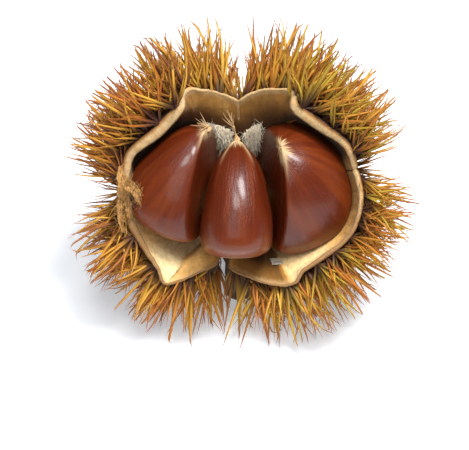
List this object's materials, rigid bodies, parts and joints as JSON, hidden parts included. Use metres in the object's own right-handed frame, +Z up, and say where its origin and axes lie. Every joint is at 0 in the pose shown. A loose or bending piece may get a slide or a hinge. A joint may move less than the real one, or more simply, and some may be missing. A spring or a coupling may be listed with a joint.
{
  "type": "chestnut in its husk",
  "caption": "Ripe chestnut burr split open into four spiny valves, holding three glossy brown nuts side by side on a tan lining.",
  "frame": {"origin": "middle of the underside of the whole burr, on the ground that it stands on", "axes": "+Z up; -Y is the front, over which the mouth of the husk leans; +X runs along the row of nuts, to the right seen from the front"},
  "size_m": [0.1032, 0.0813, 0.0864],
  "materials": {
    "husk": "dry, dull, golden brown spines over a tan wall",
    "stalk": "rough dark bark",
    "nut": "polished red-brown shell",
    "style": "dry pale bristles",
    "silk": "soft pale felt of hairs",
    "lining": "suede-like tan skin"
  },
  "bodies": {
    "root": {"husk": "husk", "stalk": "stalk", "nut_left": "nut", "nut_middle": "nut", "nut_right": "nut", "style_left": "style", "style_middle": "style", "style_right": "style", "silk_left": "silk", "silk_right": "silk", "membrane_flake": "silk", "lining_shred": "lining"}
  },
  "joints": []
}
